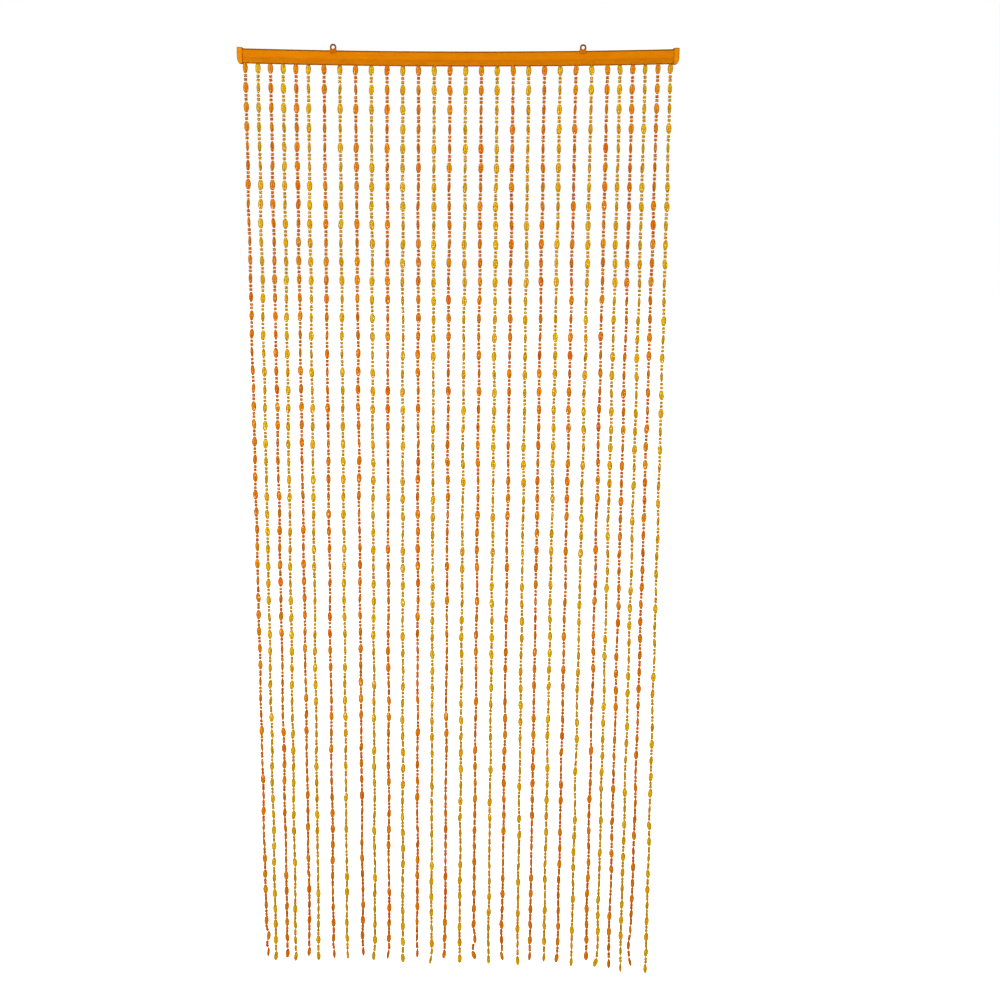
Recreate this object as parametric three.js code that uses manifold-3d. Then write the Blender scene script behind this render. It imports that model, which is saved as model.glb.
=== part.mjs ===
import * as THREE from "three";
import { mergeVertices } from "three/addons/utils/BufferGeometryUtils.js";
import Module from "manifold-3d";

// A bead curtain for a doorway, on a plastic headrail with two hanger eyes, in millimetres.
// X runs along the rail, +Y points to the back and +Z up.
// The origin lies midway between the two eye holes, which are what the curtain hangs by.

// Headrail: a channel, open below, whose ends stand a little higher than its middle
const railSpan = 900; // over both end caps
const railHeight = 27.5;
const railDepth = 18;
const railWall = 1.6;
const railEdge = 1; // bevel along the two upper edges
const railBow = 5.7; // how far the ends stand above the middle
const railSteps = 18;
const uprightFront = 17.1; // height of the front above its fold
const frontSetback = 2.6; // the lower edge of the front lies this far behind the upright part
const ledgeReach = 5.2; // half the slot between the two ledges that carry the strips
const ledgeTop = 7.4; // above the rail's lower edge
const ledgeThickness = 1.4;

// End caps: a solid outer part and a short sleeve over the rail's end, open at the back
const capWidth = 11;
const capSleeve = 4;
const capOver = 2; // wall above the rail
const capWall = 1.2; // wall in front of and below the rail
const capRoundWidth = 4.2; // rounded lower outer corner
const capRoundHeight = 13.5;
const capCorner = 1.5; // small radius of the upper outer corner

// Hanger eyes: a round-topped plate with a hole, and a foot that lies on the rail
const eyeSpacing = 508; // from hole to hole
const eyeWidth = 13;
const eyeHole = 7;
const eyeThickness = 1.6;
const eyeAboveRail = 6; // from the rail's top to the hole's centre
const eyeLap = 5.5; // how far the plate reaches down the rail's front
const footDepth = 11;
const footThickness = 1.2;
const arcSteps = 8; // half the sides of a round edge

// Strands: oval beads a pitch apart, with two small spools between each pair
const outerGap = 25.7; // between strands near the rail's ends
const outerGaps = 5; // at either end
const innerGap = 32.2;
const innerGaps = 19;
const beadCount = 52; // oval beads on a strand
const ovalLength = 20.5;
const ovalWidth = 9.5;
const ovalThickness = 4.5;
const spoolWidth = 3.2; // mean width of the thread and spools
const tipWidth = 2;
const firstBeadDrop = 9.5; // from the rail's lower edge to the first oval bead's middle
const strandDrop = 1978; // from the rail's lower edge to a usual strand's end
const beadStretch = 0.0145; // the weight below draws the upper beads further apart
const backStep = 4; // rows of the front edges to each point of the back edge
const swingBeads = 4; // the last beads, which may hang out of line

// Strips inside the rail that hold the strands
const stripHalfLength = 439.5;
const stripDepth = 6.25;
const stripThickness = 2;
const stripBetween = 0.3; // gap between the two strips
const rootOffset = 2.6; // strands start this far in front of or behind the curtain's plane
const rootWidth = 2;
const rootSink = 1; // how far a strand reaches into its strip

const clearance = 0.3; // between pieces that touch

// One row for each strand from left to right:
// longer, what its end hangs below the usual drop; lean, its end's shift to the right;
// swing, how far its last beads hang to the right of the line of the others
const strandTable = [
  { longer: -10, lean: 9, swing: 2 },
  { longer: 0, lean: 4, swing: 0 },
  { longer: -6, lean: 5, swing: 0 },
  { longer: 1, lean: -2, swing: 0 },
  { longer: -11, lean: 4, swing: 1 },
  { longer: 0, lean: -1, swing: 0 },
  { longer: -5, lean: 1, swing: -3 },
  { longer: -4, lean: 0, swing: 0 },
  { longer: -11, lean: 4, swing: 2 },
  { longer: 0, lean: -1, swing: -3 },
  { longer: -4, lean: -1, swing: -4 },
  { longer: 5, lean: -2, swing: 0 },
  { longer: -7, lean: -1, swing: 0 },
  { longer: 9, lean: -1, swing: -3 },
  { longer: -5, lean: -2, swing: 0 },
  { longer: 6, lean: -1, swing: 0 },
  { longer: -2, lean: -1, swing: 3 },
  { longer: 8, lean: 1, swing: 0 },
  { longer: 0, lean: -1, swing: -3 },
  { longer: 11, lean: 3, swing: 0 },
  { longer: 0, lean: -1, swing: 1 },
  { longer: 3, lean: -1, swing: 0 },
  { longer: 4, lean: -2, swing: 0 },
  { longer: 14, lean: -2, swing: 0 },
  { longer: -1, lean: -1, swing: 1 },
  { longer: 16, lean: -1, swing: -5 },
  { longer: 18, lean: 0, swing: 0 },
  { longer: 28, lean: 1, swing: 0 },
  { longer: 13, lean: -2, swing: 4 },
  { longer: 31, lean: 8, swing: 1 },
];

const wasm = await Module();
wasm.setup();

// Solids for joining and cutting
function toSolid(geometry) {
  const bare = geometry.clone();
  bare.deleteAttribute("normal");
  bare.deleteAttribute("uv");
  const merged = mergeVertices(bare, 1e-4);
  const vertProperties = new Float32Array(merged.attributes.position.array);
  const triVerts = new Uint32Array(merged.index.array);
  return new wasm.Manifold(new wasm.Mesh({ numProp: 3, vertProperties, triVerts }));
}

function toGeometry(solid) {
  const mesh = solid.getMesh();
  const geometry = new THREE.BufferGeometry();
  geometry.setAttribute("position", new THREE.BufferAttribute(mesh.vertProperties, 3));
  geometry.setIndex(new THREE.BufferAttribute(mesh.triVerts, 1));
  geometry.computeVertexNormals();
  return geometry;
}

// The rail's bow: how far it has risen at x, and the height of its top there
function bowAt(x) {
  return railBow * (x / (railSpan / 2)) ** 2;
}

const railTopMiddle = -eyeAboveRail - bowAt(eyeSpacing / 2);

function bend(geometry) {
  const position = geometry.attributes.position;
  for (let i = 0; i < position.count; i++) {
    position.setZ(i, position.getZ(i) + railTopMiddle + bowAt(position.getX(i)));
  }
  return geometry;
}

// A section drawn as [y, z] points, drawn out along X from one place to another
function alongRail(section, fromX, toX, steps) {
  const shape = new THREE.Shape(section.map(([y, z]) => new THREE.Vector2(y, z)));
  const geometry = new THREE.ExtrudeGeometry(shape, { depth: toX - fromX, steps, bevelEnabled: false });
  const yzToWorld = new THREE.Matrix4().set(0, 0, 1, fromX, 1, 0, 0, 0, 0, 1, 0, 0, 0, 0, 0, 1);
  return geometry.applyMatrix4(yzToWorld);
}

// A shape drawn in the plane of the curtain, drawn out from front to back
function throughDepth(shape, frontY, backY, curveSegments) {
  const settings = { depth: backY - frontY, curveSegments, bevelEnabled: false };
  const geometry = new THREE.ExtrudeGeometry(shape, settings);
  return geometry.rotateX(Math.PI / 2).translate(0, backY, 0);
}

// Headrail
const front = -railDepth / 2;
const back = railDepth / 2;
const foldZ = -uprightFront;
const lowerZ = -railHeight;
const lowerFront = front + frontSetback;
const railEnd = railSpan / 2 - capWidth + capSleeve - clearance;

function innerFrontAt(z) {
  const belowFold = Math.max(0, foldZ - z);
  return front + railWall + (frontSetback * belowFold) / (railHeight - uprightFront);
}

function railGeometry() {
  const innerBack = back - railWall;
  const shelfZ = lowerZ + ledgeTop;
  const shelfUnder = shelfZ - ledgeThickness;
  const section = [
    [front, -railEdge],
    [front, foldZ],
    [lowerFront, lowerZ],
    [lowerFront + railWall, lowerZ],
    [innerFrontAt(shelfUnder), shelfUnder],
    [-ledgeReach, shelfUnder],
    [-ledgeReach, shelfZ],
    [innerFrontAt(shelfZ), shelfZ],
    [front + railWall, foldZ],
    [front + railWall, -railWall],
    [innerBack, -railWall],
    [innerBack, shelfZ],
    [ledgeReach, shelfZ],
    [ledgeReach, shelfUnder],
    [innerBack, shelfUnder],
    [innerBack, lowerZ],
    [back, lowerZ],
    [back, -railEdge],
    [back - railEdge, 0],
    [front + railEdge, 0],
  ];
  return bend(alongRail(section, -railEnd, railEnd, railSteps));
}

// End cap at the rail's right end; the left one is its mirror image
function capSolid() {
  const outerX = railSpan / 2;
  const innerX = outerX - capWidth;
  const sleeveEndX = innerX + capSleeve;
  const topZ = clearance + capOver;
  const bottomZ = lowerZ - clearance - capWall;
  const capFront = front - clearance - capWall;
  const body = [
    [capFront, topZ - capCorner],
    [capFront, foldZ],
    [capFront + frontSetback, bottomZ],
    [back, bottomZ],
    [back, topZ],
    [capFront + capCorner, topZ],
  ];
  const pocket = [
    [front - clearance, clearance],
    [front - clearance, foldZ],
    [lowerFront - clearance, lowerZ - clearance],
    [back + capWall, lowerZ - clearance],
    [back + capWall, clearance],
  ];
  const outline = new THREE.Shape();
  outline.moveTo(innerX, bottomZ);
  outline.lineTo(outerX - capRoundWidth, bottomZ);
  outline.absellipse(
    outerX - capRoundWidth, bottomZ + capRoundHeight, capRoundWidth, capRoundHeight,
    -Math.PI / 2, 0, false, 0,
  );
  outline.lineTo(outerX, topZ - capCorner);
  outline.absarc(outerX - capCorner, topZ - capCorner, capCorner, 0, Math.PI / 2, false);
  outline.lineTo(innerX, topZ);
  const whole = toSolid(alongRail(body, innerX, outerX, 1));
  const rounded = toSolid(throughDepth(outline, capFront - capWall, back + capWall, arcSteps));
  const hollow = toSolid(alongRail(pocket, innerX - capWall, sleeveEndX, 1));
  return whole.intersect(rounded).subtract(hollow);
}

function capGeometry(side) {
  const geometry = toGeometry(side > 0 ? capSolid() : capSolid().mirror([1, 0, 0]));
  return bend(geometry);
}

// Hanger eye, with its hole's centre at the origin
function eyeGeometry() {
  const radius = eyeWidth / 2;
  const plateBack = front - clearance;
  const plateFront = plateBack - eyeThickness;
  const plateEnd = -eyeAboveRail - eyeLap;
  const plate = new THREE.Shape();
  plate.moveTo(-radius, plateEnd);
  plate.lineTo(radius, plateEnd);
  plate.absarc(0, 0, radius, 0, Math.PI, false);
  const hole = new THREE.Path();
  hole.absarc(0, 0, eyeHole / 2, 0, 2 * Math.PI, true);
  plate.holes.push(hole);
  const upright = toSolid(throughDepth(plate, plateFront, plateBack, arcSteps));
  const footZ = -eyeAboveRail + 2 * clearance;
  const foot = new THREE.BoxGeometry(eyeWidth, footDepth + eyeThickness, footThickness);
  foot.translate(0, plateFront + (footDepth + eyeThickness) / 2, footZ + footThickness / 2);
  return toGeometry(upright.add(toSolid(foot)));
}

// Strand: three long edges, two that follow the beads' width in front and one behind
const strandCount = strandTable.length;
const outerSpan = outerGap * outerGaps;
const strandSpan = 2 * outerSpan + innerGap * innerGaps;

function strandX(index) {
  const fromLeft = Math.min(index, outerGaps) * outerGap;
  const inside = Math.min(Math.max(index - outerGaps, 0), innerGaps) * innerGap;
  const fromRight = Math.max(index - outerGaps - innerGaps, 0) * outerGap;
  return fromLeft + inside + fromRight - strandSpan / 2;
}

function strandRows(index, rootY) {
  const { longer, lean, swing } = strandTable[index];
  const topX = strandX(index);
  const railLower = railTopMiddle + bowAt(topX) + lowerZ;
  const endZ = railTopMiddle + lowerZ - strandDrop - longer;
  const firstZ = railLower - firstBeadDrop;
  const lastZ = endZ + ovalLength / 2;
  const pitch = (firstZ - lastZ) / (beadCount - 1);
  const beadZ = (bead) => {
    const along = bead / (beadCount - 1);
    return firstZ - (firstZ - lastZ) * along * (1 + beadStretch * (1 - along));
  };
  const rows = [];
  const addRow = (z, width, thickness, y) => {
    const along = (firstZ - z) / (firstZ - endZ);
    const swung = Math.max(0, (endZ + swingBeads * pitch - z) / (swingBeads * pitch));
    rows.push({ x: topX + lean * Math.max(0, along) + swing * swung ** 2, y, z, width, thickness });
  };
  const rootZ = railLower + ledgeTop + clearance + rootSink;
  addRow(rootZ, rootWidth, rootWidth, rootY);
  for (let bead = 0; bead < beadCount; bead++) {
    const isLast = bead === beadCount - 1;
    addRow(beadZ(bead), ovalWidth, ovalThickness, bead === 0 ? rootY / 2 : 0);
    addRow(isLast ? endZ : beadZ(bead + 0.5), isLast ? tipWidth : spoolWidth, ovalThickness, 0);
  }
  return rows;
}

function strandGeometry(index, rootY) {
  const rows = strandRows(index, rootY);
  const last = rows.length - 1;
  const points = [];
  const triangles = [];
  for (const { x, y, z, width, thickness } of rows) {
    points.push([x - width / 2, y - thickness / 2, z], [x + width / 2, y - thickness / 2, z]);
  }
  const left = (row) => 2 * row;
  const right = (row) => 2 * row + 1;
  const behind = (row) => 2 * rows.length + row / backStep;
  for (let row = 0; row <= last; row += backStep) {
    const { x, y, z, thickness } = rows[row];
    points.push([x, y + thickness / 2, z]);
  }
  for (let row = 0; row < last; row++) {
    triangles.push([left(row), left(row + 1), right(row)], [right(row), left(row + 1), right(row + 1)]);
  }
  for (let top = 0; top < last; top += backStep) {
    const middle = top + backStep / 2;
    const bottom = top + backStep;
    for (let row = top; row < bottom; row++) {
      const apex = behind(row < middle ? top : bottom);
      triangles.push([left(row), apex, left(row + 1)], [right(row), right(row + 1), apex]);
    }
    triangles.push([left(middle), behind(top), behind(bottom)]);
    triangles.push([right(middle), behind(bottom), behind(top)]);
  }
  triangles.push([left(0), right(0), behind(0)], [left(last), behind(last), right(last)]);
  const geometry = new THREE.BufferGeometry();
  geometry.setAttribute("position", new THREE.Float32BufferAttribute(points.flat(), 3));
  geometry.setIndex(triangles.flat());
  return geometry;
}

// All strands of one colour, fused at their roots into their strip; side is -1 in front and 1 behind
function strandsGeometry(firstIndex, side) {
  const nearY = (side * stripBetween) / 2;
  const farY = nearY + side * stripDepth;
  const underZ = lowerZ + ledgeTop + clearance;
  const overZ = underZ + stripThickness;
  const lowY = Math.min(nearY, farY);
  const highY = Math.max(nearY, farY);
  const section = [[lowY, underZ], [highY, underZ], [highY, overZ], [lowY, overZ]];
  let solid = toSolid(bend(alongRail(section, -stripHalfLength, stripHalfLength, railSteps)));
  for (let index = firstIndex; index < strandCount; index += 2) {
    solid = solid.add(toSolid(strandGeometry(index, side * rootOffset)));
  }
  return toGeometry(solid);
}

// Materials
const railPlastic = new THREE.MeshStandardMaterial({ color: 0xde8005, roughness: 0.45, metalness: 0 });
const capPlastic = new THREE.MeshStandardMaterial({ color: 0xe89010, roughness: 0.4, metalness: 0 });
const eyePlastic = new THREE.MeshStandardMaterial({ color: 0xf08a0a, roughness: 0.4, metalness: 0 });
const orangeBeads = new THREE.MeshStandardMaterial({ color: 0xfa8c14, roughness: 0.12, metalness: 0 });
const yellowBeads = new THREE.MeshStandardMaterial({ color: 0xf5c314, roughness: 0.12, metalness: 0 });

function piece(name, geometry, material) {
  const mesh = new THREE.Mesh(geometry, material);
  mesh.name = name;
  return mesh;
}

const curtain = new THREE.Group();
curtain.add(piece("rail", railGeometry(), railPlastic));
for (const [sideName, side] of [["left", -1], ["right", 1]]) {
  curtain.add(piece(`end_cap_${sideName}`, capGeometry(side), capPlastic.clone()));
  const eye = piece(`hanger_eye_${sideName}`, eyeGeometry(), eyePlastic.clone());
  eye.position.x = (side * eyeSpacing) / 2;
  curtain.add(eye);
}
curtain.add(piece("orange_strands", strandsGeometry(0, -1), orangeBeads));
curtain.add(piece("yellow_strands", strandsGeometry(1, 1), yellowBeads));

export default curtain;
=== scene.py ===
import math

import bmesh
import bpy
import numpy as np
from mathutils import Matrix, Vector


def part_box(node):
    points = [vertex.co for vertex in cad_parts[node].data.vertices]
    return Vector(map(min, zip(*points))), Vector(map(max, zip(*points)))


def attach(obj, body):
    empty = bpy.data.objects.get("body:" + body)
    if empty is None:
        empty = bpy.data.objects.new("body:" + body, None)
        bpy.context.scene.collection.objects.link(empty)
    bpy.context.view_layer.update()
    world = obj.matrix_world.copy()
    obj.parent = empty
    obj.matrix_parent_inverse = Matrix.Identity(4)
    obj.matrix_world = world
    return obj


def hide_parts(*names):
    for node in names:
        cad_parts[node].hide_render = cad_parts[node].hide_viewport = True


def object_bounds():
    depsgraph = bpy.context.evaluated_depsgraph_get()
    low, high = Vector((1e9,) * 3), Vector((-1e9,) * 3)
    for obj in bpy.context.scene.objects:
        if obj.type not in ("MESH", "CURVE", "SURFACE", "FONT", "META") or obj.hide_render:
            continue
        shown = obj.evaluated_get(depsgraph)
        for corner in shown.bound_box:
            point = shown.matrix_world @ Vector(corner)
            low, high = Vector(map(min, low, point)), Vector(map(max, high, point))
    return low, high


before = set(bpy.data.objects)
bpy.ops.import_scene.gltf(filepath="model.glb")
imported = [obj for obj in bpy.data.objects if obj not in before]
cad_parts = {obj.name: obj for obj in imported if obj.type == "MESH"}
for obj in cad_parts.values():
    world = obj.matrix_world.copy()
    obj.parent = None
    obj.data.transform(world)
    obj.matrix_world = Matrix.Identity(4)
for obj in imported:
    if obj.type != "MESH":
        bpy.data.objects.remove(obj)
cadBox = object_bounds()
mm = 0.001
hair = 0.01 * mm  # nearer than this is the same place
seam = 0.002 * mm  # nearer than this is merged
body = "root"
print("frame loaded:", ", ".join(sorted(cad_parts)))


# small helpers for working by hand in edit mode

def deselectAll():
    if bpy.context.mode != "OBJECT":
        bpy.ops.object.mode_set(mode="OBJECT")
    bpy.ops.object.select_all(action="DESELECT")


def activate(piece):
    deselectAll()
    piece.select_set(True)
    bpy.context.view_layer.objects.active = piece
    return piece


def startEdit(piece):
    activate(piece)
    bpy.ops.object.mode_set(mode="EDIT")
    bpy.ops.mesh.select_mode(type="VERT")
    bpy.ops.mesh.select_all(action="SELECT")


def endEdit():
    bpy.ops.object.mode_set(mode="OBJECT")


def pickVerts(piece, test):
    bpy.ops.mesh.select_mode(type="VERT")
    mesh = bmesh.from_edit_mesh(piece.data)
    for vert in mesh.verts:
        vert.select_set(bool(test(vert.co)))
    mesh.select_flush_mode()
    bmesh.update_edit_mesh(piece.data)


def pickEdges(piece, test):
    bpy.ops.mesh.select_mode(type="EDGE")
    mesh = bmesh.from_edit_mesh(piece.data)
    for edge in mesh.edges:
        start, end = (vert.co for vert in edge.verts)
        edge.select_set(bool(test(start, end)))
    mesh.select_flush_mode()
    bmesh.update_edit_mesh(piece.data)


def stepOut(x=0.0, y=0.0, z=0.0):
    bpy.ops.mesh.extrude_region_move(TRANSFORM_OT_translate={"value": (x, y, z)})


def newVertex(name, place):
    # a plane merged to its middle is a single vertex to draw from
    deselectAll()
    bpy.ops.mesh.primitive_plane_add(size=mm)
    piece = bpy.context.object
    piece.name = piece.data.name = name
    startEdit(piece)
    bpy.ops.mesh.merge(type="CENTER")
    bpy.ops.transform.translate(value=place)
    return piece


def drawOutline(points):
    # the vertex that is selected is drawn on from point to point
    for here, there in zip(points, points[1:]):
        stepOut(*(b - a for a, b in zip(here, there)))


def cleanUp(piece, angle=30):
    # seams merged, faces outwards, place in the mesh, sharp only where faces turn
    startEdit(piece)
    bpy.ops.mesh.remove_doubles(threshold=seam)
    bpy.ops.mesh.select_all(action="SELECT")
    bpy.ops.mesh.normals_make_consistent(inside=False)
    endEdit()
    bpy.ops.object.transform_apply(location=True, rotation=True, scale=True)
    bpy.ops.object.shade_smooth_by_angle(angle=math.radians(angle))
    return piece


def applyModifier(piece, kind, **settings):
    activate(piece)
    modifier = piece.modifiers.new(kind.title(), kind)
    for key, value in settings.items():
        setattr(modifier, key, value)
    bpy.ops.object.modifier_apply(modifier=modifier.name)
    return piece


def copyOf(piece, name):
    twin = piece.copy()
    twin.data = piece.data.copy()
    twin.name = twin.data.name = name
    bpy.context.collection.objects.link(twin)
    return twin


def discard(piece):
    mesh = piece.data
    bpy.data.objects.remove(piece)
    bpy.data.meshes.remove(mesh)


def joinAll(pieces, name):
    activate(pieces[0])
    for piece in pieces:
        piece.select_set(True)
    bpy.ops.object.join()
    joined = bpy.context.object
    joined.name = joined.data.name = name
    return joined


def handOver(piece, node, material):
    piece.data.materials.clear()
    piece.data.materials.append(material)
    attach(piece, body)
    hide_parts(node)


# the rail's place and its bow, which every piece on it follows

railLow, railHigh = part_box("rail")
bowSettings = {"rise": 5.7 * mm, "halfSpan": 450 * mm}


def bowAt(x):
    return bowSettings["rise"] * (x / bowSettings["halfSpan"]) ** 2


railTopMiddle = railHigh.z - bowAt(railHigh.x)


def followBow(piece):
    # pieces are modelled with the rail's top at zero and then set on the bow
    for vert in piece.data.vertices:
        vert.co.z += railTopMiddle + bowAt(vert.co.x)


# camera, at the photograph's angle

cameraSettings = {
    "place": (-65.0 * mm, -2942.8 * mm, -371.3 * mm),
    "tilt": 79.852,
    "roll": -0.110,
    "lens": 50.0,
    "sensor": 36.0,
    "shift": (0.0742, -0.0184),
}


def setCamera(settings):
    deselectAll()
    bpy.ops.object.camera_add(location=settings["place"])
    camera = bpy.context.object
    camera.rotation_euler = (math.radians(settings["tilt"]), math.radians(settings["roll"]), 0)
    camera.data.lens = settings["lens"]
    camera.data.sensor_width = settings["sensor"]
    camera.data.shift_x, camera.data.shift_y = settings["shift"]
    bpy.context.scene.camera = camera


setCamera(cameraSettings)
print("camera set")


# materials

def plug(tree, socket, value):
    # a link from another node, or a plain number or colour
    if isinstance(value, bpy.types.NodeSocket):
        tree.links.new(value, socket)
    else:
        socket.default_value = value


class Nodes:
    # a material's node tree, built from left to right

    def __init__(self, name):
        self.material = bpy.data.materials.new(name)
        self.material.use_nodes = True
        self.tree = self.material.node_tree
        self.shader = self.tree.nodes["Principled BSDF"]

    def add(self, kind, links=None, **inputs):
        node = self.tree.nodes.new(kind)
        for key, value in inputs.items():
            if key in node.inputs:
                node.inputs[key].default_value = value
            else:
                setattr(node, key, value)
        for key, output in (links or {}).items():
            self.tree.links.new(output, node.inputs[key])
        return node

    def feed(self, socket, output):
        self.tree.links.new(output, self.shader.inputs[socket])

    def set(self, **values):
        for key, value in values.items():
            self.shader.inputs[key.replace("_", " ")].default_value = value

    def place(self, scale=(1, 1, 1)):
        coordinates = self.add("ShaderNodeTexCoord")
        mapping = self.add("ShaderNodeMapping", {"Vector": coordinates.outputs["Object"]}, Scale=scale)
        return mapping.outputs["Vector"]

    def noise(self, scale, stretch=(1, 1, 1), detail=3.0):
        vector = self.place(stretch)
        node = self.add("ShaderNodeTexNoise", {"Vector": vector}, Scale=scale, Detail=detail)
        return node.outputs["Fac"]

    def ramp(self, factor, *stops):
        node = self.add("ShaderNodeValToRGB", {"Fac": factor})
        points = node.color_ramp.elements
        while len(points) < len(stops):
            points.new(0.5)
        for point, (position, colour) in zip(points, stops):
            point.position = position
            point.color = (*colour, 1.0)
        return node.outputs["Color"]

    def blend(self, factor, first, second):
        node = self.add("ShaderNodeMix", data_type="RGBA")
        sockets = (node.inputs[0], node.inputs[6], node.inputs[7])
        for socket, value in zip(sockets, (factor, first, second)):
            plug(self.tree, socket, value)
        return node.outputs[2]

    def work(self, operation, first, second=0.0):
        node = self.add("ShaderNodeMath", operation=operation)
        for socket, value in zip(node.inputs, (first, second)):
            plug(self.tree, socket, value)
        return node.outputs[0]

    def span(self, factor, low, high):
        node = self.add("ShaderNodeMapRange", {"Value": factor})
        node.inputs["To Min"].default_value = low
        node.inputs["To Max"].default_value = high
        return node.outputs["Result"]

    def bump(self, height, strength, distance):
        node = self.add("ShaderNodeBump", {"Height": height}, Strength=strength, Distance=distance)
        self.feed("Normal", node.outputs["Normal"])


def screenColour(red, green, blue):
    # a colour as seen on screen, 0 to 255, made linear
    return tuple((value / 255 / 12.92) if value < 11 else ((value / 255 + 0.055) / 1.055) ** 2.4
                 for value in (red, green, blue))


def satinPlastic(name, pale, usual, deep, roughness, edges=None):
    # moulded or drawn plastic: soft blotches, faint draw lines along the rail, a fine pebble
    # and, where a mask is given, painted shade along edges
    nodes = Nodes(name)
    blotch = nodes.ramp(nodes.noise(55, (0.5, 1, 1.6)), (0.3, deep), (0.5, usual), (0.72, pale))
    lines = nodes.noise(900, (0.004, 1, 1), 2)
    colour = nodes.blend(nodes.span(lines, 0.0, 0.16), blotch, (*deep, 1.0))
    # painted shade: where the mask says, the colour goes towards a third of the deep tone
    if edges:
        colour = nodes.blend(edges(nodes), colour, (*(0.3 * value for value in deep), 1.0))
    nodes.feed("Base Color", colour)
    nodes.feed("Roughness", nodes.span(nodes.noise(260), roughness - 0.06, roughness + 0.08))
    nodes.bump(nodes.noise(1500), 0.12, 0.05 * mm)
    nodes.set(Specular_IOR_Level=0.12, IOR=1.46)
    return nodes.material


def clearBead(name, pale, usual, deep, absorbed, density):
    # tinted acrylic: each bead has its own tone, with streaks along the bead and a faint ripple
    nodes = Nodes(name)
    tone = nodes.add("ShaderNodeAttribute", attribute_name="beadTone").outputs["Fac"]
    tint = nodes.ramp(tone, (0.0, pale), (0.5, usual), (1.0, deep))
    streak = nodes.ramp(nodes.noise(420, (1, 1, 0.3), 2), (0.42, (0, 0, 0)), (0.68, (1, 1, 1)))
    nodes.feed("Base Color", nodes.blend(nodes.span(streak, 0.0, 0.3), tint, (*deep, 1.0)))
    nodes.feed("Roughness", nodes.span(nodes.noise(300), 0.03, 0.11))
    nodes.bump(nodes.noise(520, (1, 1, 0.5), 1), 0.12, 0.12 * mm)
    nodes.set(Transmission_Weight=0.6, IOR=1.49)
    depth = nodes.add("ShaderNodeVolumeAbsorption", Color=(*absorbed, 1.0), Density=density)
    nodes.tree.links.new(depth.outputs["Volume"], nodes.tree.nodes["Material Output"].inputs["Volume"])
    return nodes.material


def clearThread(name):
    nodes = Nodes(name)
    usual, pale = (0.86, 0.84, 0.78), (0.95, 0.94, 0.9)
    nodes.feed("Base Color", nodes.ramp(nodes.noise(700), (0.35, usual), (0.7, pale)))
    nodes.feed("Roughness", nodes.span(nodes.noise(1200), 0.1, 0.22))
    nodes.set(Transmission_Weight=0.92, IOR=1.5)
    return nodes.material


def heightOnRail(nodes):
    # below the rail's top edge, in millimetres, wherever along the bow
    apart = nodes.add("ShaderNodeSeparateXYZ", {"Vector": nodes.place()}).outputs
    along = nodes.work("POWER", nodes.work("ABSOLUTE", apart["X"]), 2.0)
    bowed = nodes.work("MULTIPLY", along, bowSettings["rise"] / bowSettings["halfSpan"] ** 2)
    topEdge = nodes.work("ADD", bowed, railTopMiddle)
    return nodes.work("MULTIPLY", nodes.work("SUBTRACT", topEdge, apart["Z"]), 1 / mm)


def greys(*stops):
    return [(place, (grey,) * 3) for place, grey in stops]


# where the painted shade lies: heights on the rail in millimetres, the rest as lengths
railShade = {"height": 28.0}
capShade = {"above": 2.5, "height": 33.0, "seam": 438.5 * mm, "reach": 11.5 * mm}
eyeShade = {"reach": 10 * mm, "height": 16 * mm}


def railPaintedShade(nodes):
    # painted shade: a dark line along the top edge, a line at the fold with the face below it a little
    # darker, and the lower edge
    down = nodes.work("DIVIDE", heightOnRail(nodes), railShade["height"])
    return nodes.ramp(down, *greys((0.0, 0.5), (0.012, 0.85), (0.07, 0.85), (0.105, 0.0), (0.585, 0.0),
                                   (0.615, 0.18), (0.64, 0.11), (0.93, 0.08), (0.975, 0.15)))


def capPaintedShade(nodes):
    # painted shade along the top, the bottom, the outer side and the seam to the rail
    down = nodes.work("ADD", heightOnRail(nodes), capShade["above"])
    down = nodes.work("DIVIDE", down, capShade["height"])
    high = nodes.ramp(down, *greys((0.0, 0.5), (0.04, 0.5), (0.075, 0.0), (0.9, 0.0), (0.94, 0.15)))
    apart = nodes.add("ShaderNodeSeparateXYZ", {"Vector": nodes.place()}).outputs
    out = nodes.work("SUBTRACT", nodes.work("ABSOLUTE", apart["X"]), capShade["seam"])
    side = nodes.ramp(nodes.work("DIVIDE", out, capShade["reach"]),
                      *greys((0.05, 0.42), (0.1, 0.36), (0.17, 0.0), (0.83, 0.0), (0.92, 0.55)))
    return nodes.work("MAXIMUM", high, side)


def eyePaintedShade(nodes):
    # painted shade over the ring, deepest at its rim and hole and towards its top
    apart = nodes.add("ShaderNodeSeparateXYZ", {"Vector": nodes.place()}).outputs
    aside = nodes.work("SUBTRACT", nodes.work("ABSOLUTE", apart["X"]), eyeMiddle)
    far = nodes.work("SQRT", nodes.work("ADD", nodes.work("POWER", nodes.work("ABSOLUTE", aside), 2.0),
                                        nodes.work("POWER", nodes.work("ABSOLUTE", apart["Z"]), 2.0)))
    ring = nodes.ramp(nodes.work("DIVIDE", far, eyeShade["reach"]),
                      *greys((0.35, 1.0), (0.44, 0.8), (0.54, 0.8), (0.63, 1.0), (0.72, 0.5),
                             (0.82, 0.0)))
    high = nodes.ramp(nodes.work("ADD", nodes.work("DIVIDE", apart["Z"], eyeShade["height"]), 0.5),
                      *greys((0.2, 0.25), (0.5, 0.8), (0.75, 1.0)))
    return nodes.work("MULTIPLY", ring, high)


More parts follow.
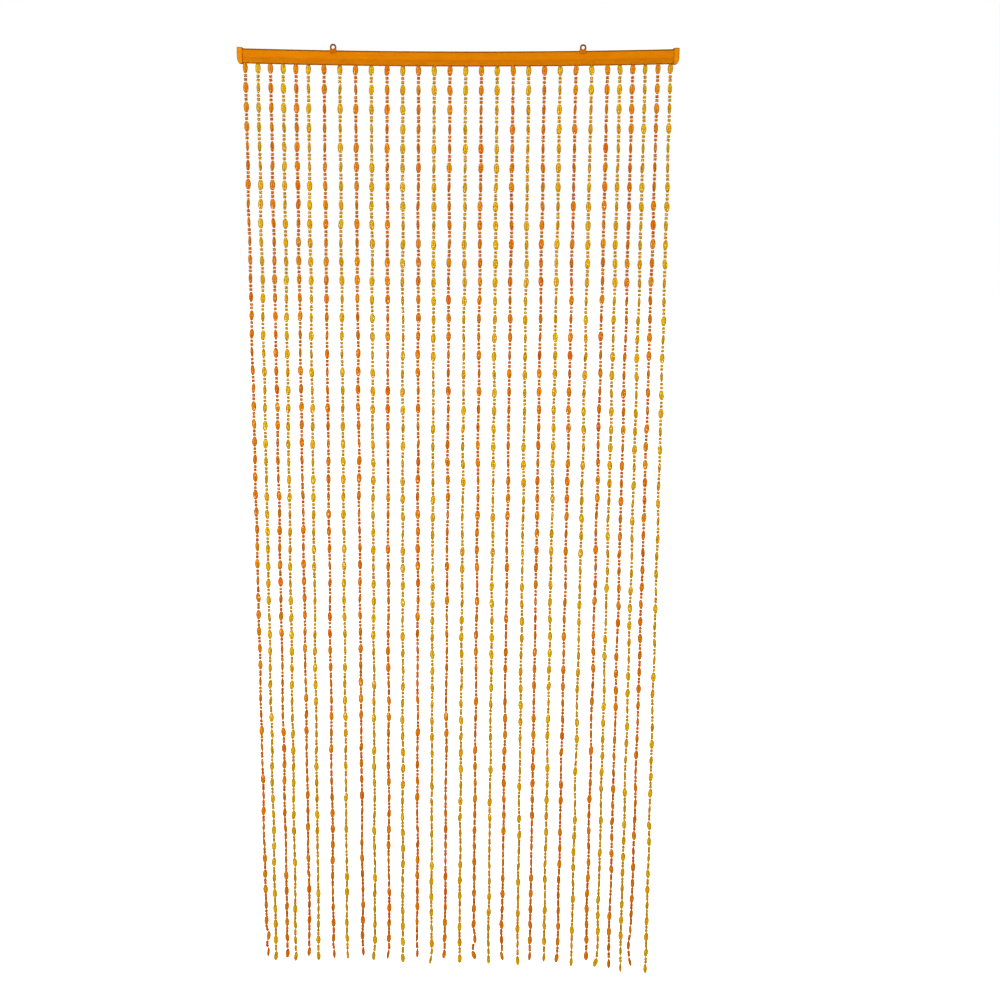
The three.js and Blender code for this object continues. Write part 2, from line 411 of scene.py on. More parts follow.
eyeMiddle = sum(corner.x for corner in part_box("hanger_eye_right")) / 2
# the rail, caps and eyes carry painted shade along their edges, from the masks above
railPlastic = satinPlastic(
    "railPlastic", screenColour(245, 164, 4), screenColour(242, 160, 3), screenColour(237, 155, 2),
    0.46, railPaintedShade)
capPlastic = satinPlastic(
    "capPlastic", screenColour(255, 180, 16), screenColour(252, 172, 12), screenColour(245, 161, 7),
    0.40, capPaintedShade)
eyePlastic = satinPlastic(
    "eyePlastic", screenColour(243, 161, 22), screenColour(235, 147, 16), screenColour(214, 128, 11),
    0.38, eyePaintedShade)
stripPlastic = satinPlastic(
    "stripPlastic", screenColour(243, 165, 11), screenColour(236, 156, 9), screenColour(225, 144, 7),
    0.45)
orangeAcrylic = clearBead(
    "orangeAcrylic", screenColour(255, 210, 72), screenColour(255, 189, 46), screenColour(252, 160, 40),
    (0.985, 0.87, 0.08), 400)
yellowAcrylic = clearBead(
    "yellowAcrylic", screenColour(255, 233, 82), screenColour(255, 220, 52), screenColour(252, 206, 52),
    (0.985, 0.94, 0.08), 400)
threadNylon = clearThread("threadNylon")
print("materials made")


# headrail: one section, drawn out along the bow

railSettings = {
    "height": 27.5 * mm,
    "wall": 1.6 * mm,
    "uprightFront": 17.1 * mm,
    "setback": 2.6 * mm,
    "slotHalf": 5.2 * mm,
    "ledgeTop": 7.4 * mm,
    "ledgeThick": 1.4 * mm,
    "topEdge": 1.4 * mm,
    "foldEdge": 1.2 * mm,
    "lipEdge": 0.5 * mm,
    "steps": 44,
}


def innerFrontAt(z, settings):
    slope = settings["setback"] / (settings["height"] - settings["uprightFront"])
    return railLow.y + settings["wall"] + slope * max(0, -settings["uprightFront"] - z)


def makeRail(settings):
    front, back = railLow.y, railHigh.y
    wall, slot = settings["wall"], settings["slotHalf"]
    fold, lower = -settings["uprightFront"], -settings["height"]
    lowerFront = front + settings["setback"]
    shelf = lower + settings["ledgeTop"]
    shelfUnder = shelf - settings["ledgeThick"]
    section = [
        (front, 0), (front, fold), (lowerFront, lower), (lowerFront + wall, lower),
        (innerFrontAt(shelfUnder, settings), shelfUnder), (-slot, shelfUnder), (-slot, shelf),
        (innerFrontAt(shelf, settings), shelf), (front + wall, fold), (front + wall, -wall),
        (back - wall, -wall), (back - wall, shelf), (slot, shelf), (slot, shelfUnder),
        (back - wall, shelfUnder), (back - wall, lower), (back, lower), (back, 0),
    ]
    points = [(-railHigh.x, y, z) for y, z in section]
    piece = newVertex("headrail", points[0])
    drawOutline(points)
    bpy.ops.mesh.select_all(action="SELECT")
    bpy.ops.mesh.edge_face_add()
    for corners, edge, segments in (
        ([(front, 0), (back, 0)], settings["topEdge"], 4),
        ([(front, fold)], settings["foldEdge"], 3),
        ([(lowerFront, lower), (lowerFront + wall, lower), (back, lower), (back - wall, lower)],
         settings["lipEdge"], 2),
    ):
        pickVerts(piece, lambda co: any(math.dist((co.y, co.z), corner) < hair for corner in corners))
        bpy.ops.mesh.bevel(offset=edge, segments=segments, affect="VERTICES")
    bpy.ops.mesh.select_mode(type="FACE")
    bpy.ops.mesh.select_all(action="SELECT")
    for step in range(settings["steps"]):
        stepOut(x=2 * railHigh.x / settings["steps"])
    cleanUp(piece, 20)
    followBow(piece)
    return piece


rail = makeRail(railSettings)
handOver(rail, "rail", railPlastic)
print("headrail made,", len(rail.data.polygons), "faces")


# end caps: an outline seen from the front, drawn out to the back, cut to the rail's slope and hollowed

capSettings = {
    "width": 11 * mm,
    "sleeve": 4 * mm,
    "over": 2 * mm,
    "wall": 1.2 * mm,
    "roundWidth": 4.2 * mm,
    "roundHeight": 13.5 * mm,
    "corner": 1.5 * mm,
    "edge": 0.5 * mm,
    "gap": 0.3 * mm,
    "arcSteps": 12,
}


def cutAway(place, normal):
    bpy.ops.mesh.select_all(action="SELECT")
    bpy.ops.mesh.bisect(plane_co=place, plane_no=normal, use_fill=True, clear_outer=True)


def makeCap(settings):
    outer = bowSettings["halfSpan"]
    inner = outer - settings["width"]
    gap, wall = settings["gap"], settings["wall"]
    front, back = railLow.y - gap - wall, railHigh.y
    fold, lower = -railSettings["uprightFront"], -railSettings["height"]
    top, bottom = gap + settings["over"], lower - gap - wall
    arc = [index / settings["arcSteps"] * math.pi / 2 for index in range(settings["arcSteps"] + 1)]
    wide, high = settings["roundWidth"], settings["roundHeight"]
    roundX, roundZ = outer - wide, bottom + high
    outline = [(inner, bottom)]
    outline += [(roundX + wide * math.sin(turn), roundZ - high * math.cos(turn)) for turn in arc]
    outline += [(outer, top), (inner, top)]
    points = [(x, front, z) for x, z in outline]
    piece = newVertex("capBlank", points[0])
    drawOutline(points)
    bpy.ops.mesh.select_all(action="SELECT")
    bpy.ops.mesh.edge_face_add()
    stepOut(y=back - front)
    slope = railSettings["setback"] / (lower - fold)
    cutAway((0, front, fold), (0, -1, slope))
    # rounded upper outer corner
    pickEdges(piece, lambda a, b: min(a.x, b.x) > outer - hair and min(a.z, b.z) > top - hair)
    bpy.ops.mesh.bevel(offset=settings["corner"], segments=4, affect="EDGES")
    cleanUp(piece)
    # the hollow that goes over the rail's end, open at the back
    hollow = makePocket(inner - wall, inner + settings["sleeve"], gap)
    applyModifier(piece, "BOOLEAN", object=hollow, operation="DIFFERENCE", solver="EXACT")
    discard(hollow)
    applyModifier(piece, "BEVEL", width=settings["edge"], segments=3, limit_method="ANGLE",
                  angle_limit=math.radians(35))
    return cleanUp(piece, 35)


def makePocket(fromX, toX, gap):
    front, back = railLow.y - gap, railHigh.y + 5 * gap
    fold, lower = -railSettings["uprightFront"], -railSettings["height"]
    deselectAll()
    bpy.ops.mesh.primitive_cube_add(size=1)
    pocket = bpy.context.object
    startEdit(pocket)
    bpy.ops.transform.resize(value=(toX - fromX, back - front, -lower + 2 * gap))
    bpy.ops.transform.translate(value=((fromX + toX) / 2, (front + back) / 2, lower / 2))
    slope = railSettings["setback"] / (lower - fold)
    cutAway((0, front, fold), (0, -1, slope))
    endEdit()
    return cleanUp(pocket)


capBlank = makeCap(capSettings)
for side, sideName in ((-1, "left"), (1, "right")):
    cap = copyOf(capBlank, "endCap." + sideName)
    if side < 0:
        startEdit(cap)
        bpy.ops.transform.resize(value=(-1, 1, 1), center_override=(0, 0, 0))
        bpy.ops.mesh.normals_make_consistent(inside=False)
        endEdit()
    followBow(cap)
    handOver(cap, "end_cap_" + sideName, capPlastic)
discard(capBlank)
print("end caps made")


# hanger eyes: a round-topped plate with a hole, on a foot that lies on the rail

eyeSettings = {
    "width": 13 * mm,
    "hole": 7 * mm,
    "thick": 1.6 * mm,
    "taper": 1.0 * mm,
    "aboveRail": 6 * mm,
    "lap": 5.5 * mm,
    "footDepth": 11 * mm,
    "footThick": 1.2 * mm,
    "footRound": 3 * mm,
    "gap": 0.3 * mm,
    "edge": 0.4 * mm,
    "steps": 20,
}


def makeEye(settings):
    radius = settings["width"] / 2
    plateBack = railLow.y - settings["gap"]
    plateFront = plateBack - settings["thick"]
    plateEnd = -settings["aboveRail"] - settings["lap"]
    piece = newVertex("eyeBlank", (radius, plateFront, plateEnd))
    stepOut(z=-plateEnd)
    bpy.ops.mesh.spin(steps=settings["steps"], angle=math.pi, center=(0, plateFront, 0), axis=(0, 1, 0))
    stepOut(z=plateEnd)
    bpy.ops.mesh.select_all(action="SELECT")
    bpy.ops.mesh.remove_doubles(threshold=hair)
    pickVerts(piece, lambda co: co.z < plateEnd + hair)
    bpy.ops.mesh.edge_face_add()
    # the hole's edge, bridged to the outline
    bpy.ops.mesh.select_all(action="DESELECT")
    bpy.ops.mesh.primitive_circle_add(
        vertices=2 * settings["steps"], radius=settings["hole"] / 2,
        location=(0, plateFront, 0), rotation=(math.pi / 2, 0, 0))
    bpy.ops.mesh.select_all(action="SELECT")
    bpy.ops.mesh.bridge_edge_loops()
    bpy.ops.mesh.select_all(action="SELECT")
    stepOut(y=settings["thick"])
    # the plate thins out towards its lower end
    pickVerts(piece, lambda co: co.z < plateEnd + hair and co.y < plateFront + hair)
    bpy.ops.transform.translate(value=(0, settings["taper"], 0))
    cleanUp(piece)
    foot = makeFoot(plateFront, -settings["aboveRail"] + 2 * settings["gap"], settings)
    applyModifier(piece, "BOOLEAN", object=foot, operation="UNION", solver="EXACT")
    discard(foot)
    applyModifier(piece, "BEVEL", width=settings["edge"], segments=3, limit_method="ANGLE",
                  angle_limit=math.radians(40))
    return cleanUp(piece, 35)


def makeFoot(frontY, footZ, settings):
    depth = settings["footDepth"] + settings["thick"] / 2
    startY = frontY + settings["thick"] / 2
    deselectAll()
    bpy.ops.mesh.primitive_cube_add(size=1)
    foot = bpy.context.object
    startEdit(foot)
    bpy.ops.transform.resize(value=(settings["width"], depth, settings["footThick"]))
    bpy.ops.transform.translate(value=(0, startY + depth / 2, footZ + settings["footThick"] / 2))
    endY = startY + depth
    pickEdges(foot, lambda a, b: min(a.y, b.y) > endY - hair and abs(a.x - b.x) < hair)
    bpy.ops.mesh.bevel(offset=settings["footRound"], segments=4, affect="EDGES")
    endEdit()
    return cleanUp(foot)


eyeBlank = makeEye(eyeSettings)
for sideName in ("left", "right"):
    low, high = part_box("hanger_eye_" + sideName)
    eye = copyOf(eyeBlank, "hangerEye." + sideName)
    startEdit(eye)
    bpy.ops.transform.translate(value=((low.x + high.x) / 2, 0, 0))
    endEdit()
    handOver(eye, "hanger_eye_" + sideName, eyePlastic)
discard(eyeBlank)
print("hanger eyes made")


# beads: each kind is modelled once, with the hole for its thread

ovalSettings = {
    "length": 21.2 * mm,
    "width": 11.2 * mm,
    "thick": 6.4 * mm,
    "sides": 8,
    "spans": 8,  # rings of facets from end to end
    "tip": 0.36,  # an end's share of the full width
    "twist": 112,  # degrees that the facets turn from end to end
    "hole": (0.6, 0.95),  # the hole's share of the end's width and thickness
}
spoolSettings = {
    "sides": 9,
    # height above the middle and radius in millimetres, down to the waist and mirrored below it
    "rings": [(2.85, 1.0), (2.65, 3.15), (1.9, 3.55), (0, 2.85)],
}


def startRing(name, sides, radius, z):
    deselectAll()
    bpy.ops.mesh.primitive_circle_add(vertices=sides, radius=radius, location=(0, 0, z))
    piece = bpy.context.object
    piece.name = piece.data.name = name
    cleanUp(piece)
    startEdit(piece)
    return piece


def isLevel(z):
    return lambda co: abs(co.z - z) < hair


def nextRing(share, z, drop, turn=0.0):
    stepOut(z=-drop)
    bpy.ops.transform.resize(value=(share, share, 1), center_override=(0, 0, z - drop))
    if turn:
        bpy.ops.transform.rotate(value=math.radians(turn), orient_axis="Z",
                                 center_override=(0, 0, z - drop))


def makeOval(settings):
    half, length = settings["width"] / 2, settings["length"]
    top = length / 2
    # an ellipse seen from the side, cut off at its tips
    tipTurn = math.asin(settings["tip"])
    spans = settings["spans"]
    turns = [tipTurn + (math.pi - 2 * tipTurn) * step / spans for step in range(spans + 1)]
    rings = [(top * math.cos(turn) / math.cos(tipTurn), math.sin(turn)) for turn in turns]
    piece = startRing("ovalBead", settings["sides"], half * settings["tip"], top)
    for (fromZ, fromShare), (toZ, toShare) in zip(rings, rings[1:]):
        nextRing(toShare / fromShare, fromZ, fromZ - toZ, -settings["twist"] * (fromZ - toZ) / length)
    bpy.ops.mesh.select_all(action="SELECT")
    flatter = settings["thick"] / settings["width"]
    bpy.ops.transform.resize(value=(1, flatter, 1), center_override=(0, 0, 0))
    # the hole: each end's edge goes in and the two are bridged
    for z in (top, -top):
        pickVerts(piece, isLevel(z))
        stepOut()
        bpy.ops.transform.resize(value=(*settings["hole"], 1), center_override=(0, 0, z))
    reach = half * settings["tip"] * settings["hole"][0] + 2 * hair
    pickVerts(piece, lambda co: abs(co.z) > top - hair and math.hypot(co.x, co.y) < reach)
    bpy.ops.mesh.bridge_edge_loops()
    endEdit()
    cleanUp(piece, 180)
    # crisp twisted ridges, smooth along them
    startEdit(piece)
    pickEdges(piece, lambda a, b: abs(a.z - b.z) > hair or abs(a.z) > top - hair)
    bpy.ops.mesh.mark_sharp()
    endEdit()
    return piece


def makeSpool(settings):
    upper = [(z * mm, radius * mm) for z, radius in settings["rings"]]
    rings = upper + [(-z, radius) for z, radius in upper[-2::-1]]
    piece = startRing("spoolBead", settings["sides"], rings[0][1], rings[0][0])
    for (fromZ, fromRadius), (toZ, toRadius) in zip(rings, rings[1:]):
        nextRing(toRadius / fromRadius, fromZ, fromZ - toZ)
    pickVerts(piece, lambda co: abs(co.z) > rings[0][0] - hair)
    bpy.ops.mesh.bridge_edge_loops()
    endEdit()
    return cleanUp(piece, 38)


ovalBead = makeOval(ovalSettings)
spoolBead = makeSpool(spoolSettings)
print("beads made,", len(ovalBead.data.polygons), "and", len(spoolBead.data.polygons), "faces")


# strands: beads in a row, each turned and set on its thread's line

strandSettings = {
    "ovals": 52,
    "outerGap": 25.7 * mm,
    "outerGaps": 5,
    "innerGap": 32.2 * mm,
    "innerGaps": 19,
    "firstDrop": 9.5 * mm,  # from the rail's lower edge to the first oval's middle
    "usualDrop": 1978 * mm,  # from the rail's lower edge to a usual strand's end
    "stretch": 0.016,  # the weight below draws the upper beads further apart
    "slack": 2.2 * mm,  # what the last oval hangs lower on its knot
    "wander": 0.45 * mm,  # how far a strand strays from a straight line
    "waves": (140, 200),  # its waves' least length and what is added at most, in millimetres
    "freeBelow": 0.125,  # the share of its length over which it comes to stray in full
    "crookedEnd": 120 * mm,  # the lowest part, where the thread follows each bend
    "rootOffset": 2.6 * mm,
    "rootLift": 0.3 * mm,  # from the rail's ledge to the strip
    "rootReach": 20 * mm,  # how far below the first oval the two rows have come together
    "spoolApart": 3.85 * mm,  # from halfway between two ovals to a spool's middle
    "spoolSlide": 0.45 * mm,
    "usualTurn": 58,  # degrees that an oval is mostly turned from facing the front, to either side
    "firstTurn": 18,
    "ovalLean": 2.5,  # degrees that a bead may sit askew on its thread
    "spoolLean": 7,
    "ovalHold": 8 * mm,  # from a bead's middle to where its thread steers it
    "spoolHold": 3 * mm,
    "ovalTone": (0.4, 0.18),  # usual tone, from pale to deep, and its spread
    "spoolTone": (0.65, 0.2),
    "seed": 41,
}
# one row for each strand from left to right, in millimetres: what its end hangs below the usual drop
# and its end's shift to the right
strandTable = [
    (-10, 9), (0, 4), (-6, 5), (1, -2), (-11, 4), (0, -1), (-5, 1), (-4, 0), (-11, 4), (0, -1),
    (-4, -1), (5, -2), (-7, -1), (9, -1), (-5, -2), (6, -1), (-2, -1), (8, 1), (0, -1), (11, 3),
    (0, -1), (3, -1), (4, -2), (14, -2), (-1, -1), (16, -1), (18, 0), (28, 1), (13, -2), (31, 8),
]
# strands whose last beads hang crooked: millimetres above the end, and how far to the right there
kinks = {
    1: [(0, 2), (17, 5.5), (29, 1), (57, 6), (70, 0)],
    5: [(0, -1), (40, -0.5), (75, 0.5)],
    7: [(0, 1), (20, 0.5), (38, -2), (58, 0)],
    9: [(0, 1.5), (45, -0.5), (80, 0)],
    10: [(0, -0.5), (12, -3), (24, -1.2), (40, 0)],
    11: [(0, -4.2), (15, -0.5), (28, 1), (45, 0)],
    14: [(0, -2.4), (15, -1), (36, 1.4), (60, 0)],
    15: [(0, -3), (16, -1), (30, 0)],
    17: [(0, 2.6), (17, 0), (30, -1.8), (50, 3), (64, 2.3), (78, -0.6), (95, 0)],
    19: [(0, 2.8), (14, -1), (25, 0), (70, -1.5), (120, 0.5)],
    23: [(0, -2.6), (17, -0.8), (35, 0)],
    26: [(0, -6.5), (17, -1.8), (30, -0.5), (50, 0)],
    29: [(0, 1), (22, -3.6), (44, -6), (60, -5.5), (77, -2.5), (110, 0)],
    30: [(0, -1.6), (25, -0.5), (60, 0)],
}


def strandX(index, settings):
    outer, inner = settings["outerGaps"], settings["innerGaps"]
    fromLeft = min(index, outer) * settings["outerGap"]
    inside = min(max(index - outer, 0), inner) * settings["innerGap"]
    fromRight = max(index - outer - inner, 0) * settings["outerGap"]
    span = 2 * outer * settings["outerGap"] + inner * settings["innerGap"]
    return fromLeft + inside + fromRight - span / 2


class Strand:
    # where one thread hangs

    def __init__(self, index, settings):
        self.longer, self.lean = (value * mm for value in strandTable[index])
        self.kink = np.array(kinks.get(index + 1, [(0, 0), (1, 0)])) * mm
        self.wander, self.waveLength = settings["wander"], settings["waves"]
        self.freeBelow, self.rootReach = settings["freeBelow"], settings["rootReach"]
        self.waves = np.random.default_rng(settings["seed"] - index - 1).uniform(0, 1, (2, 2, 2))
        self.topX = strandX(index, settings)
        self.side = -1 if index % 2 == 0 else 1
        lower = railTopMiddle - railSettings["height"]
        self.rootZ = lower + bowAt(self.topX) + railSettings["ledgeTop"] + settings["rootLift"]
        self.firstZ = lower + bowAt(self.topX) - settings["firstDrop"]
        self.endZ = lower - settings["usualDrop"] - self.longer
        self.hang = self.firstZ - self.endZ - ovalSettings["length"] / 2 - settings["slack"]
        self.stretch = settings["stretch"]
        self.looseZ = self.endZ + settings["crookedEnd"]
        self.rootY = self.side * settings["rootOffset"]

    def beadZ(self, along):
        # middle of an oval, from 0 for the first to 1 for the last
        return self.firstZ - self.hang * along * (1 + self.stretch * (1 - along))

    def at(self, z):
        along = np.clip((self.firstZ - z) / (self.firstZ - self.endZ), 0, None)
        x = self.topX + self.lean * along + np.interp(z - self.endZ, *self.kink.T)
        heights = [self.firstZ - self.rootReach, self.firstZ, self.rootZ]
        y = np.interp(z, heights, [0, self.rootY / 2, self.rootY])
        # two slow waves each way, none at the rail
        away = [0, 0]
        least, added = self.waveLength
        for axis in (0, 1):
            for start, stretch in self.waves[axis]:
                turns = (self.firstZ - z) / ((least + added * stretch) * mm) + start
                away[axis] = away[axis] + self.wander * np.sin(2 * math.pi * turns)
        free = np.clip(along / self.freeBelow, 0, 1)
        return np.stack([x + free * away[0], y + free * away[1], z], axis=-1)


def turned(points, turn, aside, ahead):
    # points of each bead, turned about its thread and then tipped sideways and forwards
    x, y, z = points[..., 0], points[..., 1], points[..., 2]
    turn, aside, ahead = turn[:, None], aside[:, None], ahead[:, None]
    x, y = x * np.cos(turn) - y * np.sin(turn), x * np.sin(turn) + y * np.cos(turn)
    x, z = x * np.cos(aside) + z * np.sin(aside), z * np.cos(aside) - x * np.sin(aside)
    y, z = y * np.cos(ahead) - z * np.sin(ahead), z * np.cos(ahead) + y * np.sin(ahead)
    return np.stack([x, y, z], axis=-1)


def hangBeads(bead, name, strand, heights, hold, lean, turns, tones, random):
    # a row of one kind of bead, from an array, each then set at its height
    count, spacing = len(heights), 30 * mm
    row = copyOf(bead, name)
    applyModifier(row, "ARRAY", count=count, use_relative_offset=False, use_constant_offset=True,
                  constant_offset_displace=(0, 0, -spacing))
    places = np.empty(len(row.data.vertices) * 3, np.float32)
    row.data.vertices.foreach_get("co", places)
    points = places.reshape(count, -1, 3).astype(float)
    points[..., 2] += spacing * np.arange(count)[:, None]
    # a bead lies along its thread between two points near its ends
    slope = (strand.at(heights + hold) - strand.at(heights - hold)) / (2 * hold)
    askew = math.radians(lean)
    aside = np.arctan(slope[:, 0]) + random.normal(0, askew, count)
    ahead = -np.arctan(slope[:, 1]) + random.normal(0, askew, count)
    points = turned(points, turns, aside, ahead) + strand.at(heights)[:, None, :]
    row.data.vertices.foreach_set("co", points.astype(np.float32).ravel())
    tone = row.data.attributes.new("beadTone", "FLOAT", "POINT")
    tone.data.foreach_set("value", np.repeat(tones, points.shape[1]).astype(np.float32))
    row.data.update()
    return row


def makeStrand(index, settings):
    random = np.random.default_rng(settings["seed"] + index)
    strand = Strand(index, settings)
    ovals = settings["ovals"]
    heights = strand.beadZ(np.linspace(0, 1, ovals))
    heights[-1] -= settings["slack"]
    turns = random.normal(0, math.radians(settings["usualTurn"]), ovals)
    turns[0] *= settings["firstTurn"] / settings["usualTurn"]
    tones = np.clip(random.normal(*settings["ovalTone"], ovals), 0, 1)
    ovalRow = hangBeads(ovalBead, "ovalRow", strand, heights, settings["ovalHold"],
                        settings["ovalLean"], turns, tones, random)
    between = (heights[1:] + heights[:-1]) / 2
    slide = random.uniform(-1, 1, (2, ovals - 1)) * settings["spoolSlide"]
    spoolHeights = np.concatenate([between + settings["spoolApart"] + slide[0],
                                   between - settings["spoolApart"] + slide[1]])
    turns = random.uniform(-math.pi, math.pi, len(spoolHeights))
    tones = np.clip(random.normal(*settings["spoolTone"], len(spoolHeights)), 0, 1)
    spoolRow = hangBeads(spoolBead, "spoolRow", strand, spoolHeights, settings["spoolHold"],
                         settings["spoolLean"], turns, tones, random)
    colour = "orange" if strand.side < 0 else "yellow"
    return joinAll([ovalRow, spoolRow], f"{colour}Strand.{index + 1:02d}"), strand


colours = {
    -1: ("orange_strands", "orange_beads", orangeAcrylic),
    1: ("yellow_strands", "yellow_beads", yellowAcrylic),
}
strands = []
for index in range(len(strandTable)):
    piece, strand = makeStrand(index, strandSettings)
    node, slot, material = colours[strand.side]
    handOver(piece, node, material)
    strands.append(strand)
discard(ovalBead)
discard(spoolBead)
print("strands hung:", len(strands))


# threads and the two strips in the rail that hold them

threadSettings = {
    "width": 0.45 * mm,
    "sides": 5,
    "above": 1 * mm,  # into the strip
    "below": 0.3 * mm,  # past the strand's end
    "steps": 48,
    "endSteps": 17,
    "knot": 2,  # the knot's width over the thread's
}
stripSettings = {
    "halfLength": 439.5 * mm,
    "depth": 6.25 * mm,
    "thick": 2 * mm,
    "between": 0.3 * mm,
    "lift": 0.3 * mm,
    "edge": 0.35 * mm,
    "steps": 30,
}


def makeThread(strand, name, settings):
    # down through every bead's hole, with a knot's swelling under the last one
    lowest = strand.endZ - settings["below"]
    stops = np.concatenate([[strand.rootZ + settings["above"]],
                            np.linspace(strand.firstZ, strand.looseZ, settings["steps"]),
                            np.linspace(strand.looseZ, lowest, settings["endSteps"])[1:]])
    line = strand.at(stops)
    piece = startRing(name, settings["sides"], settings["width"] / 2, 0)
    bpy.ops.transform.translate(value=line[0])
    for here, there in zip(line, line[1:]):
        stepOut(*(there - here))
    bpy.ops.transform.resize(value=(settings["knot"], settings["knot"], 1), center_override=line[-1])
    bpy.ops.mesh.edge_face_add()
    pickVerts(piece, isLevel(line[0][2]))
    bpy.ops.mesh.edge_face_add()
    endEdit()
    return cleanUp(piece, 60)


def makeStrip(side, name, settings):
    near = side * settings["between"] / 2
    middle = near + side * settings["depth"] / 2
    under = -railSettings["height"] + railSettings["ledgeTop"] + settings["lift"]
    deselectAll()
    bpy.ops.mesh.primitive_cube_add(size=1)
    piece = bpy.context.object
    piece.name = piece.data.name = name
    startEdit(piece)
    bpy.ops.transform.resize(value=(2 * settings["halfLength"], settings["depth"], settings["thick"]))
    bpy.ops.transform.translate(value=(0, middle, under + settings["thick"] / 2))
    pickEdges(piece, lambda a, b: abs(a.x - b.x) > settings["halfLength"])
    bpy.ops.mesh.bevel(offset=settings["edge"], segments=2, affect="EDGES")
    pickEdges(piece, lambda a, b: abs(a.x - b.x) > settings["halfLength"])
    bpy.ops.mesh.subdivide(number_cuts=settings["steps"] - 1)
    endEdit()
    cleanUp(piece, 40)
    followBow(piece)
    return piece


for side, colour in ((-1, "orange"), (1, "yellow")):
    node, slot, material = colours[side]
    held = [strand for strand in strands if strand.side == side]
    threads = [makeThread(strand, "thread", threadSettings) for strand in held]
    handOver(joinAll(threads, colour + "Threads"), node, threadNylon)
    handOver(makeStrip(side, colour + "Strip", stripSettings), node, stripPlastic)
print("threads and strips made")


# stage: pale floor, white surroundings and soft boxes

stageSettings = {
    "floorDrop": 60 * mm,
    "floorSize": 40.0,
    "floorColour": screenColour(246, 246, 244),
    "fill": 0.285,  # soft light from all round
    "mirrored": 0.22,  # what polished faces reflect between the soft boxes
    "warm": (1.0, 0.55, 0.14),  # and its colour
    # what shows through the beads: least, from the sides, from the front or back, from below
    "through": (0.37, 0.6, 1.25, 1.08),
    "sideSpan": (0.8, 0.97),  # how far to the side, front or back and below those begin and are full
    "endSpan": (0.6, 0.93),
    "belowSpan": (0.15, 0.5),
    "low": 0.95,  # what is left of it towards the floor
    "lowSpan": (-0.5, -0.05),
    "gamma": 0.74,
}
# place, target, width, height and watts of each soft box, and whether it lights dull faces
# or shows in polished ones
softBoxes = [
    ((-1.7, -2.5, 1.5), (0, 0, -0.5), 0.9, 1.2, 52, True),
    ((1.9, -2.3, 1.2), (0, 0, -0.6), 0.7, 1.0, 26, True),
    ((-0.9, -2.6, -1.8), (0, 0, -1.8), 0.8, 0.8, 10, True),
    ((0.8, 2.8, 1.2), (0, 0, -0.5), 1.0, 1.2, 50, True),
    ((-0.45, -1.4, -1.5), (0, 0, -0.6), 0.4, 0.4, 6, False),
    ((-1.3, -1.9, -0.8), (0, 0, -0.8), 0.3, 0.6, 6, False),
    ((1.2, -1.7, -0.7), (0, 0, -1.0), 0.25, 0.5, 4, False),
]


def makeFloor(settings):
    deselectAll()
    bpy.ops.mesh.primitive_circle_add(
        vertices=64, radius=settings["floorSize"], fill_type="NGON",
        location=(0, 0, cadBox[0].z - settings["floorDrop"]))
    floor = bpy.context.object
    floor.name = "floor"
    nodes = Nodes("floorPaint")
    pale = settings["floorColour"]
    duller = tuple(0.985 * value for value in pale)
    nodes.feed("Base Color", nodes.ramp(nodes.noise(3), (0.3, duller), (0.7, pale)))
    # lit up as a sweep behind a product is
    rays = nodes.add("ShaderNodeLightPath")
    nodes.feed("Emission Strength", rays.outputs["Is Camera Ray"])
    nodes.set(Roughness=0.9, Emission_Color=(1, 1, 1, 1))
    floor.data.materials.append(nodes.material)
    floor.visible_glossy = floor.visible_transmission = False


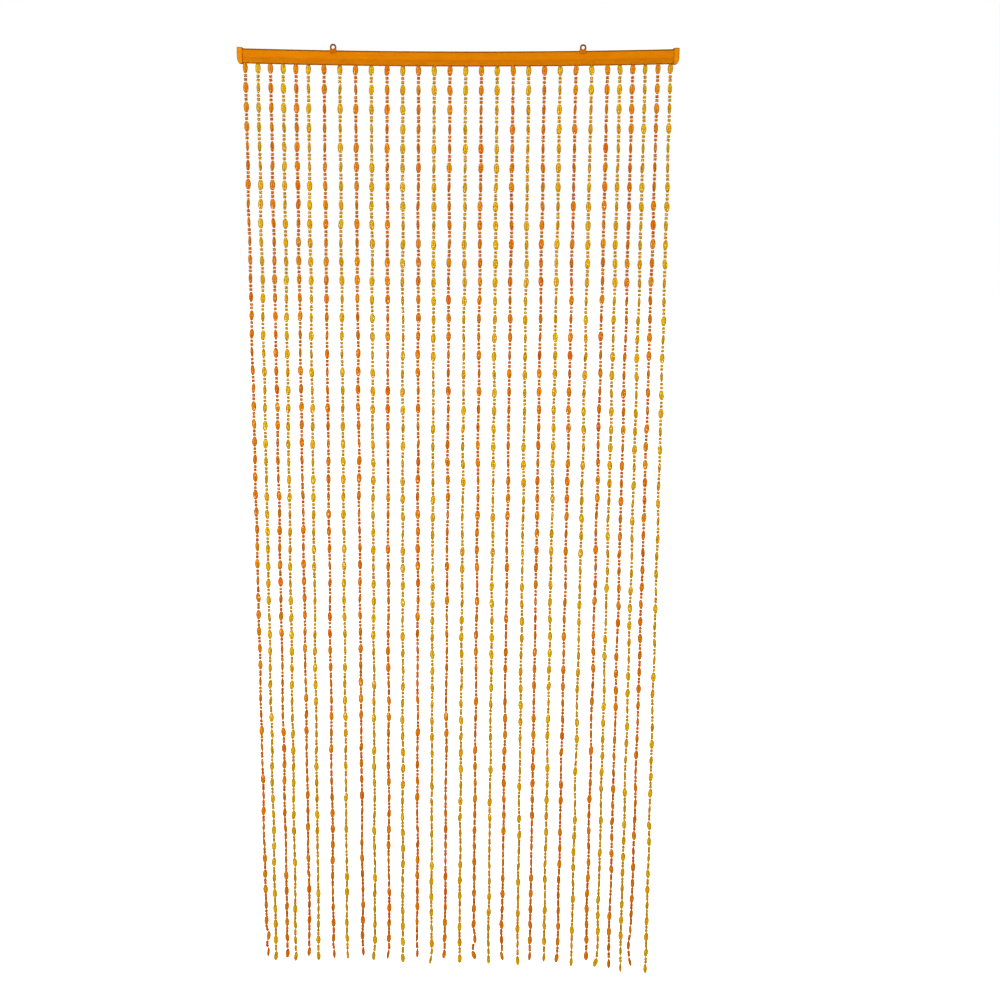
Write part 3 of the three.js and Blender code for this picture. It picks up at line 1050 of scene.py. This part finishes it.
def makeWorld(settings):
    # white to the eye, soft fill for dull faces, and bright before and behind the curtain
    # for clear beads
    world = bpy.data.worlds.new("studio")
    world.use_nodes = True
    bpy.context.scene.world = world
    tree = world.node_tree
    background = tree.nodes["Background"]
    rays = tree.nodes.new("ShaderNodeLightPath")
    coordinates = tree.nodes.new("ShaderNodeTexCoord")
    apart = tree.nodes.new("ShaderNodeSeparateXYZ")
    tree.links.new(coordinates.outputs["Generated"], apart.inputs[0])

    def put(socket, value):
        plug(tree, socket, value)

    def work(operation, first, second=0.0):
        node = tree.nodes.new("ShaderNodeMath")
        node.operation = operation
        put(node.inputs[0], first)
        put(node.inputs[1], second)
        return node.outputs[0]

    def grade(value, *span):
        node = tree.nodes.new("ShaderNodeMapRange")
        node.interpolation_type = "SMOOTHSTEP"
        put(node.inputs["Value"], value)
        for key, end in zip(("From Min", "From Max", "To Min", "To Max"), span):
            put(node.inputs[key], end)
        return node.outputs["Result"]

    def lobe(axis, span, strength):
        return grade(work("ABSOLUTE", apart.outputs[axis]), *span, 0, strength)

    def choose(ray, other, own):
        node = tree.nodes.new("ShaderNodeMix")
        sockets = (node.inputs[0], node.inputs[2], node.inputs[3])
        for socket, value in zip(sockets, (rays.outputs[ray], other, own)):
            put(socket, value)
        return node.outputs[0]

    least, sides, ends, below = settings["through"]
    across = work("ADD", lobe("X", settings["sideSpan"], sides - least),
                  lobe("Y", settings["endSpan"], ends - least))
    down = work("MULTIPLY", apart.outputs["Z"], -1.0)
    down = grade(down, *settings["belowSpan"], 0, below - least)
    through = work("ADD", work("MAXIMUM", across, down), least)
    floorward = grade(apart.outputs["Z"], *settings["lowSpan"], settings["low"], 1)
    through = work("MULTIPLY", through, floorward)
    strength = choose("Is Glossy Ray", settings["fill"], settings["mirrored"])
    strength = choose("Is Transmission Ray", strength, through)
    put(background.inputs["Strength"], choose("Is Camera Ray", strength, 1.0))
    colour = tree.nodes.new("ShaderNodeMix")
    colour.data_type = "RGBA"
    only = work("SUBTRACT", rays.outputs["Is Glossy Ray"], rays.outputs["Is Transmission Ray"])
    put(colour.inputs[0], work("MAXIMUM", only, 0.0))
    put(colour.inputs[6], (1, 1, 1, 1))
    put(colour.inputs[7], (*settings["warm"], 1))
    put(background.inputs["Color"], colour.outputs[2])


def makeSoftBox(place, target, width, height, watts, lightsAll):
    deselectAll()
    bpy.ops.object.light_add(type="AREA", location=place)
    box = bpy.context.object
    box.data.shape = "RECTANGLE"
    box.data.size, box.data.size_y, box.data.energy = width, height, watts
    box.visible_camera = False
    box.visible_diffuse = lightsAll
    box.visible_glossy = not lightsAll
    box.visible_transmission = place[1] < 0  # the one behind doesn't shine through the beads
    aim = Vector(target) - box.location
    box.rotation_euler = aim.to_track_quat("-Z", "Y").to_euler()


makeFloor(stageSettings)
makeWorld(stageSettings)
for softBox in softBoxes:
    makeSoftBox(*softBox)
bpy.context.scene.view_settings.view_transform = "Standard"
bpy.context.scene.view_settings.look = "None"
bpy.context.scene.view_settings.gamma = stageSettings["gamma"]
print("stage set")
